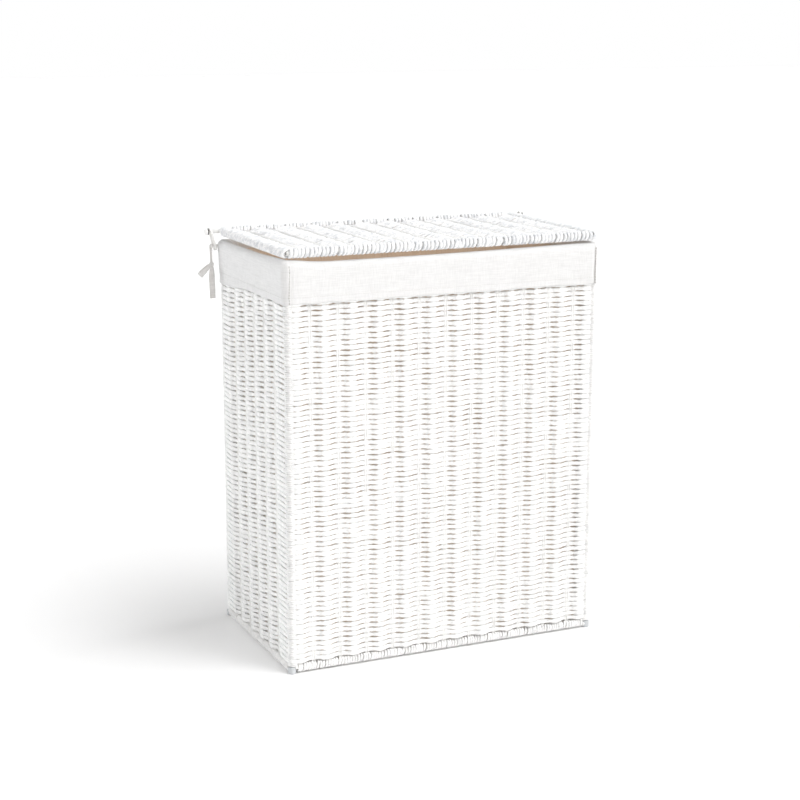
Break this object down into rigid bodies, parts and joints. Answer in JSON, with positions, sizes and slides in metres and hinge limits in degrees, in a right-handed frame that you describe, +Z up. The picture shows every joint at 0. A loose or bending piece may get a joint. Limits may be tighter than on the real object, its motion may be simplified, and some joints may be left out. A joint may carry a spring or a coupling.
{
  "type": "woven laundry basket",
  "caption": "Tall rectangular laundry basket of white paper rope woven on a wire frame, with a cloth liner folded over the rim and a hinged woven lid.",
  "frame": {"origin": "on the floor under the middle of the basket", "axes": "+X to the right along the front, +Y towards the hinged back, +Z up"},
  "size_m": [0.5238, 0.2688, 0.5692],
  "materials": {
    "paper_rope": "matte twisted paper rope",
    "white_wire": "white powder coat",
    "liner_cloth": "plain cotton, matte",
    "tie_ribbon": "cotton tape, matte",
    "foot_plastic": "moulded, satin",
    "washer_rubber": "moulded, matt"
  },
  "bodies": {
    "basket": {"wire_panel_front": "white_wire", "woven_front": "paper_rope", "base_binding_front": "paper_rope", "top_binding_front": "paper_rope", "liner_front": "liner_cloth", "wire_panel_right": "white_wire", "woven_right": "paper_rope", "base_binding_right": "paper_rope", "top_binding_right": "paper_rope", "liner_right": "liner_cloth", "wire_panel_back": "white_wire", "woven_back": "paper_rope", "base_binding_back": "paper_rope", "top_binding_back": "paper_rope", "liner_back": "liner_cloth", "wire_panel_left": "white_wire", "woven_left": "paper_rope", "base_binding_left": "paper_rope", "top_binding_left": "paper_rope", "liner_left": "liner_cloth", "corner_post_front_left": "white_wire", "foot_cap_front_left": "foot_plastic", "corner_post_front_right": "white_wire", "foot_cap_front_right": "foot_plastic", "corner_post_rear_left": "white_wire", "foot_cap_rear_left": "foot_plastic", "corner_post_rear_right": "white_wire", "foot_cap_rear_right": "foot_plastic", "base_wire_grid": "white_wire", "woven_base": "paper_rope", "liner_bottom": "liner_cloth", "rear_top_rail": "white_wire", "hinge_ring_left": "white_wire", "tie_loop_left": "tie_ribbon", "tie_knot_left": "tie_ribbon", "tie_tail_left": "tie_ribbon", "tie_bow_left": "tie_ribbon", "hinge_ring_right": "white_wire", "tie_loop_right": "tie_ribbon", "tie_knot_right": "tie_ribbon", "tie_tail_right": "tie_ribbon", "tie_bow_right": "tie_ribbon"},
    "lid": {"lid_frame": "white_wire", "lid_hinge_rod": "white_wire", "woven_lid": "paper_rope", "lid_binding_front": "paper_rope", "lid_binding_right": "paper_rope", "lid_binding_back": "paper_rope", "lid_binding_left": "paper_rope", "rod_cap_left": "foot_plastic", "rod_cap_right": "foot_plastic", "rod_washer_left": "washer_rubber", "rod_washer_right": "washer_rubber"}
  },
  "joints": [
    {"name": "lid_hinge", "type": "hinge", "parent": "basket", "child": "lid", "pos_m": [0, 0.1265, 0.5624], "axis": [-1, 0, 0], "range_deg": [0, 215]}
  ]
}
